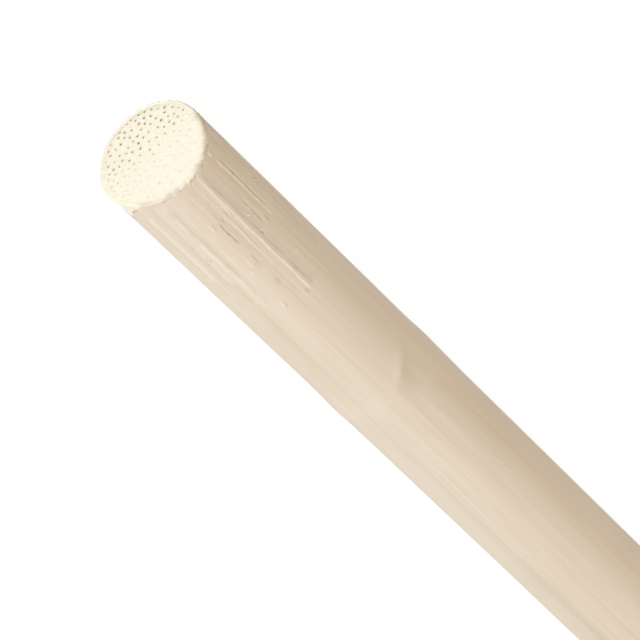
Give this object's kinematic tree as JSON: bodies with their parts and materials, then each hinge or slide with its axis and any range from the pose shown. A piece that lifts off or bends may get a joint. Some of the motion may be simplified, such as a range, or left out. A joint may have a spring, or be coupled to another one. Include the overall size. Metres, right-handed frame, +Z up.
{
  "type": "rattan cane",
  "caption": "Solid length of peeled rattan stem with square-cut, porous ends, for handles, frames, rods and craft work.",
  "frame": {"origin": "under the middle of the cane, on the surface it lies on (bottom centre of its box)", "axes": "+X along the cane, away from the cut that the picture shows; +Z up, away from the surface it lies on"},
  "size_m": [0.4, 0.0173, 0.0159],
  "materials": {
    "peeled_rattan": "peeled and sanded, matt, no varnish; the cuts are paler and full of open pores"
  },
  "bodies": {
    "root": {"rattan_cane": "peeled_rattan"}
  },
  "joints": []
}
